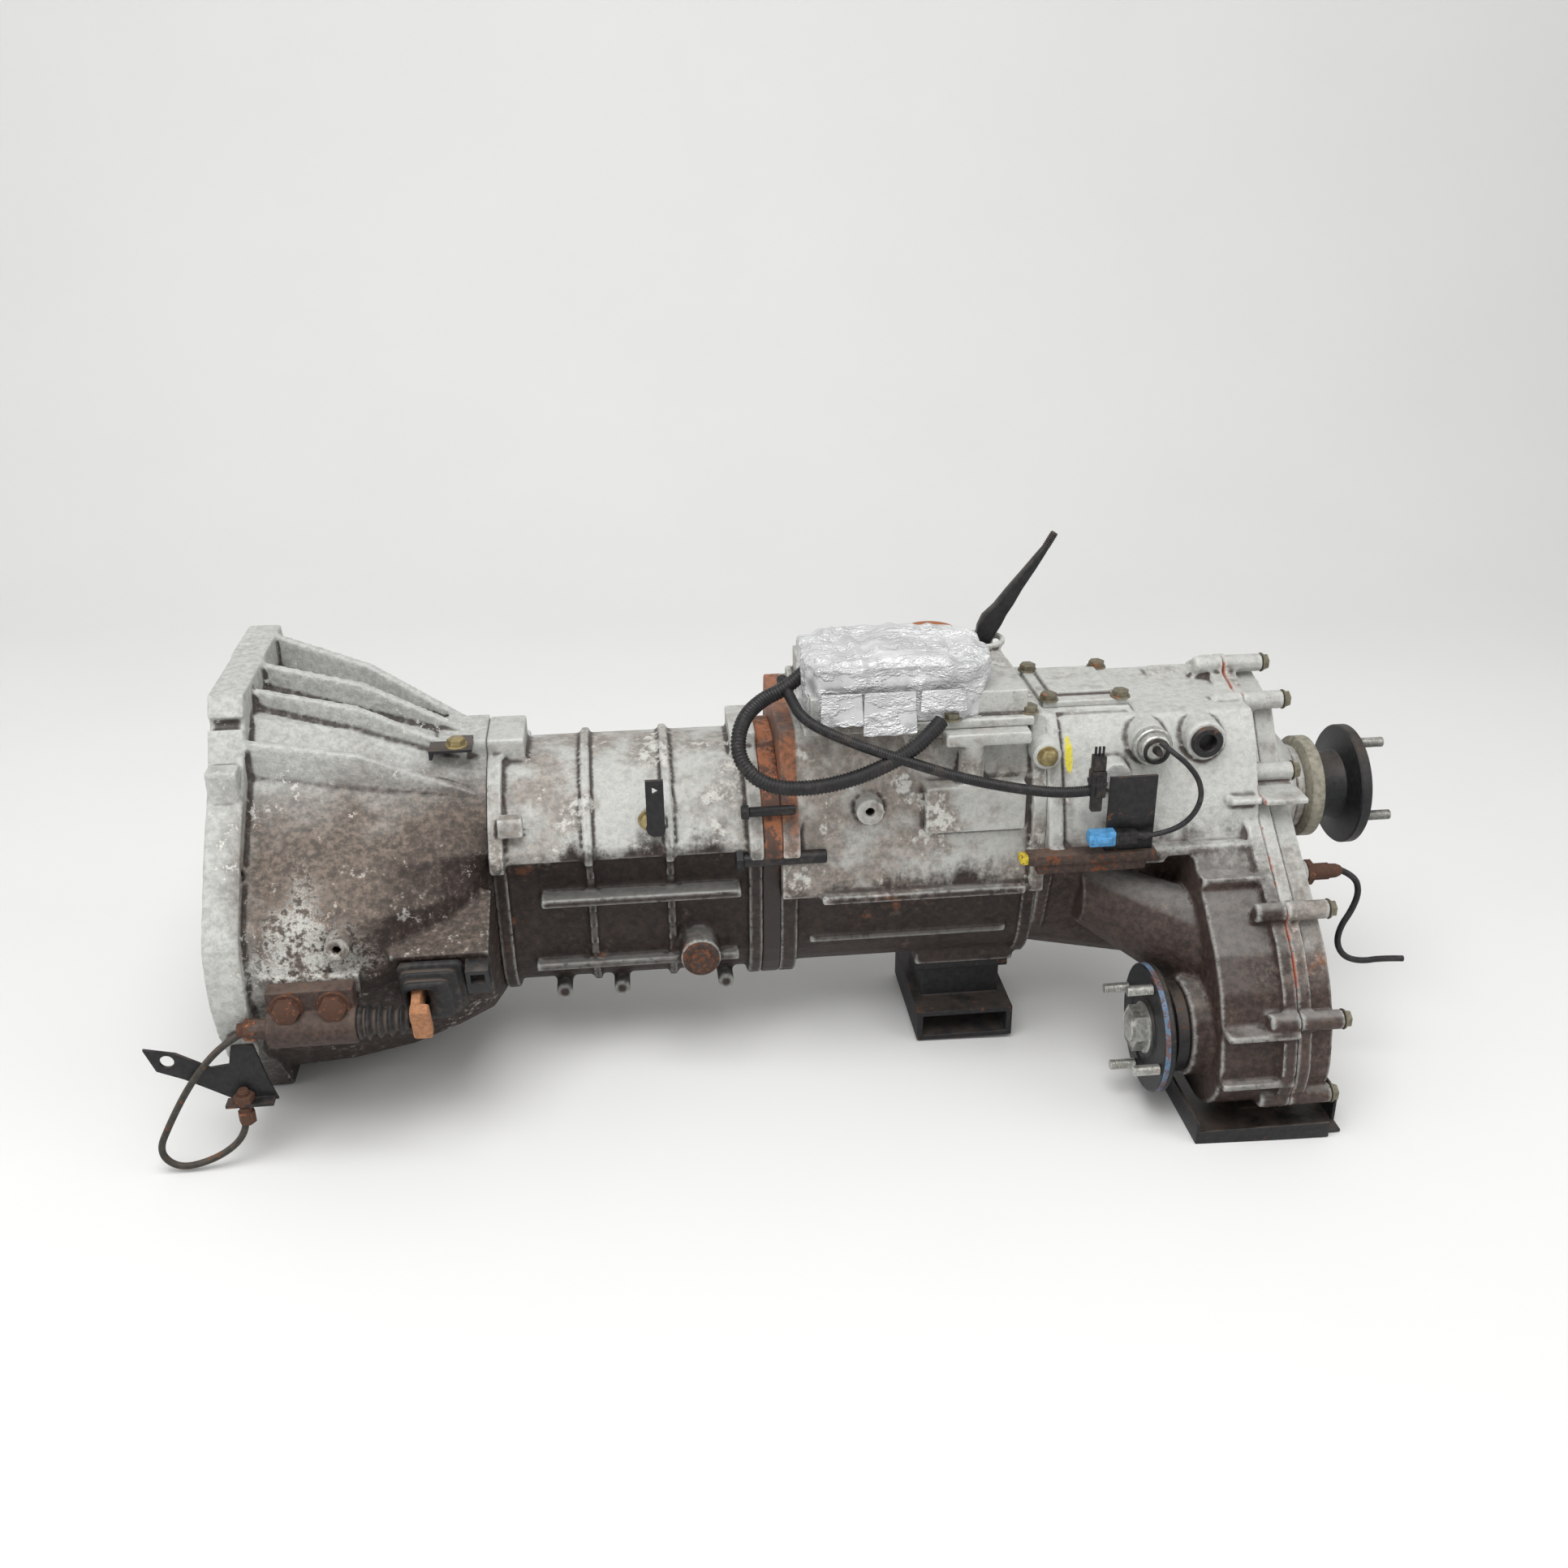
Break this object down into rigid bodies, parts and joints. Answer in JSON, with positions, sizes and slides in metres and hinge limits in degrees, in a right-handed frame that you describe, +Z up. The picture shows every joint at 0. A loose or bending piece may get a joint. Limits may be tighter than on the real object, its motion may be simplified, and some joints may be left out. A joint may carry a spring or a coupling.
{
  "type": "vehicle transmission with transfer case",
  "caption": "Manual gearbox with a side-chain two-speed transfer case, open clutch bell, release fork, slave cylinder and two flanged outputs.",
  "frame": {"origin": "on the main shaft's axis in the engine face of the clutch bell", "axes": "+X to the rear output, +Z up, -Y towards the slave cylinder and the front output"},
  "size_m": [1.1531, 0.4575, 0.498],
  "materials": {
    "cast_aluminium": "rough casting, oxidised and grimy",
    "cast_iron_plate": "rusty casting",
    "bright_steel": "machined, oiled",
    "dark_steel": "dark, oily",
    "rusty_steel": "rusted",
    "stud_steel": "worn bright",
    "black_paint": "worn black paint",
    "black_rubber": "matt",
    "black_plastic": "matt",
    "blue_plastic": "matt",
    "silver_tape": "wrinkled, satin",
    "grey_ring": "dusty"
  },
  "bodies": {
    "housings": {"clutch_housing": "cast_aluminium", "gearbox_case": "cast_aluminium", "centre_plate": "cast_iron_plate", "adapter_housing": "cast_aluminium", "control_housing": "cast_aluminium", "transfer_front_case": "cast_aluminium", "transfer_rear_cover": "cast_aluminium", "transfer_cover_plate": "cast_aluminium", "shaft_bearings": "bright_steel", "front_dust_shield": "dark_steel", "rear_dust_ring": "grey_ring", "drive_chain": "bright_steel", "front_bearing_retainer": "dark_steel", "fork_pivot_stud": "bright_steel", "slave_cylinder": "rusty_steel", "clutch_pipe": "rusty_steel", "case_bolts": "rusty_steel", "hex_plugs": "rusty_steel", "speed_sensor": "black_plastic", "rear_switch": "rusty_steel", "skid_guard": "black_paint", "gearbox_mount": "black_paint", "lever_cap": "rusty_steel", "tape_wrap": "silver_tape", "wiring_harness": "black_plastic", "blue_connector": "blue_plastic", "sensor_lead": "black_rubber", "rear_lead": "black_rubber", "clips_and_brackets": "black_paint", "pipe_bracket": "black_paint", "fork_boot": "black_rubber", "slave_bellows": "black_rubber"},
    "input": {"input_shaft": "bright_steel"},
    "layshaft": {"countershaft": "bright_steel"},
    "output": {"mainshaft": "bright_steel", "rear_output_shaft": "bright_steel", "rear_output_flange": "dark_steel", "rear_flange_studs": "stud_steel"},
    "third": {"third_gear": "bright_steel"},
    "second": {"second_gear": "bright_steel"},
    "first": {"first_gear": "bright_steel"},
    "fifth": {"fifth_gear": "bright_steel"},
    "transfer_layshaft": {"transfer_countershaft": "bright_steel"},
    "low": {"low_gear": "bright_steel"},
    "front_output": {"front_output_shaft": "bright_steel", "front_output_flange": "dark_steel", "front_flange_studs": "stud_steel"},
    "sprocket": {"chain_sprocket": "bright_steel"},
    "third_fourth_ring": {"third_fourth_sleeve": "bright_steel"},
    "first_second_ring": {"first_second_sleeve": "bright_steel"},
    "fifth_reverse_ring": {"fifth_reverse_sleeve": "bright_steel"},
    "range_ring": {"range_sleeve": "bright_steel"},
    "third_fourth_fork": {"third_fourth_rail": "dark_steel"},
    "first_second_fork": {"first_second_rail": "dark_steel"},
    "fifth_reverse_fork": {"fifth_reverse_rail": "dark_steel"},
    "range_fork": {"range_rail": "dark_steel"},
    "range_lever": {"transfer_lever": "rusty_steel"},
    "clutch_fork": {"release_fork": "rusty_steel"},
    "clutch_bearing": {"release_bearing": "bright_steel"},
    "clutch_rod": {"slave_pushrod": "rusty_steel"}
  },
  "joints": [
    {"name": "input_spin", "type": "hinge", "parent": "housings", "child": "input", "pos_m": [0, 0, 0], "axis": [1, 0, 0], "continuous": true},
    {"name": "layshaft_spin", "type": "hinge", "parent": "housings", "child": "layshaft", "pos_m": [0.3, 0, -0.084], "axis": [1, 0, 0], "continuous": true},
    {"name": "third_gear_spin", "type": "hinge", "parent": "housings", "child": "third", "pos_m": [0, 0, 0], "axis": [1, 0, 0], "continuous": true},
    {"name": "second_gear_spin", "type": "hinge", "parent": "housings", "child": "second", "pos_m": [0, 0, 0], "axis": [1, 0, 0], "continuous": true},
    {"name": "first_gear_spin", "type": "hinge", "parent": "housings", "child": "first", "pos_m": [0, 0, 0], "axis": [1, 0, 0], "continuous": true},
    {"name": "fifth_gear_spin", "type": "hinge", "parent": "housings", "child": "fifth", "pos_m": [0, 0, 0], "axis": [1, 0, 0], "continuous": true},
    {"name": "output_spin", "type": "hinge", "parent": "housings", "child": "output", "pos_m": [0, 0, 0], "axis": [1, 0, 0], "continuous": true},
    {"name": "transfer_layshaft_spin", "type": "hinge", "parent": "housings", "child": "transfer_layshaft", "pos_m": [0.79, 0, -0.084], "axis": [1, 0, 0], "continuous": true},
    {"name": "low_gear_spin", "type": "hinge", "parent": "housings", "child": "low", "pos_m": [0, 0, 0], "axis": [1, 0, 0], "continuous": true},
    {"name": "front_output_spin", "type": "hinge", "parent": "housings", "child": "front_output", "pos_m": [0.86, -0.176, -0.154], "axis": [1, 0, 0], "continuous": true},
    {"name": "sprocket_spin", "type": "hinge", "parent": "housings", "child": "sprocket", "pos_m": [0, 0, 0], "axis": [1, 0, 0], "continuous": true},
    {"name": "third_fourth_shift", "type": "slide", "parent": "housings", "child": "third_fourth_fork", "axis": [1, 0, 0], "range_m": [-0.008, 0.008]},
    {"name": "third_fourth_sleeve_slide", "type": "slide", "parent": "output", "child": "third_fourth_ring", "axis": [1, 0, 0], "range_m": [-0.008, 0.008]},
    {"name": "first_second_shift", "type": "slide", "parent": "housings", "child": "first_second_fork", "axis": [1, 0, 0], "range_m": [-0.008, 0.008]},
    {"name": "first_second_sleeve_slide", "type": "slide", "parent": "output", "child": "first_second_ring", "axis": [1, 0, 0], "range_m": [-0.008, 0.008]},
    {"name": "fifth_reverse_shift", "type": "slide", "parent": "housings", "child": "fifth_reverse_fork", "axis": [1, 0, 0], "range_m": [-0.008, 0.008]},
    {"name": "fifth_reverse_sleeve_slide", "type": "slide", "parent": "output", "child": "fifth_reverse_ring", "axis": [1, 0, 0], "range_m": [-0.008, 0.008]},
    {"name": "range_lever_tilt", "type": "hinge", "parent": "housings", "child": "range_lever", "pos_m": [0.7, 0.044, 0.136], "axis": [0, -1, 0], "range_deg": [0, 15]},
    {"name": "range_shift", "type": "slide", "parent": "housings", "child": "range_fork", "axis": [1, 0, 0], "range_m": [0, 0.016]},
    {"name": "range_sleeve_slide", "type": "slide", "parent": "output", "child": "range_ring", "axis": [1, 0, 0], "range_m": [0, 0.016]},
    {"name": "release_fork_tilt", "type": "hinge", "parent": "housings", "child": "clutch_fork", "pos_m": [0.176, -0.07513, -0.02749], "axis": [0, -0.3437, 0.9391], "range_deg": [0, 6], "deforming": ["fork_boot"]},
    {"name": "release_bearing_slide", "type": "slide", "parent": "housings", "child": "clutch_bearing", "axis": [1, 0, 0], "range_m": [-0.0085, 0]},
    {"name": "pushrod_slide", "type": "slide", "parent": "housings", "child": "clutch_rod", "axis": [1, 0, 0], "range_m": [0, 0.0145], "deforming": ["slave_bellows"]}
  ],
  "couplings": [
    {"joint": "layshaft_spin", "follows": "input_spin", "ratio": -0.63636},
    {"joint": "third_gear_spin", "follows": "input_spin", "ratio": 0.71123},
    {"joint": "second_gear_spin", "follows": "input_spin", "ratio": 0.50909},
    {"joint": "first_gear_spin", "follows": "input_spin", "ratio": 0.31818},
    {"joint": "fifth_gear_spin", "follows": "input_spin", "ratio": 1.1259},
    {"joint": "transfer_layshaft_spin", "follows": "output_spin", "ratio": -0.76471},
    {"joint": "low_gear_spin", "follows": "output_spin", "ratio": 0.5098},
    {"joint": "sprocket_spin", "follows": "front_output_spin", "ratio": 1},
    {"joint": "third_fourth_sleeve_slide", "follows": "third_fourth_shift", "ratio": 1},
    {"joint": "first_second_sleeve_slide", "follows": "first_second_shift", "ratio": 1},
    {"joint": "fifth_reverse_sleeve_slide", "follows": "fifth_reverse_shift", "ratio": 1},
    {"joint": "range_shift", "follows": "range_lever_tilt", "m_per_rad": 0.061},
    {"joint": "range_sleeve_slide", "follows": "range_lever_tilt", "m_per_rad": 0.061},
    {"joint": "release_bearing_slide", "follows": "release_fork_tilt", "m_per_rad": -0.08},
    {"joint": "pushrod_slide", "follows": "release_fork_tilt", "m_per_rad": 0.137}
  ]
}
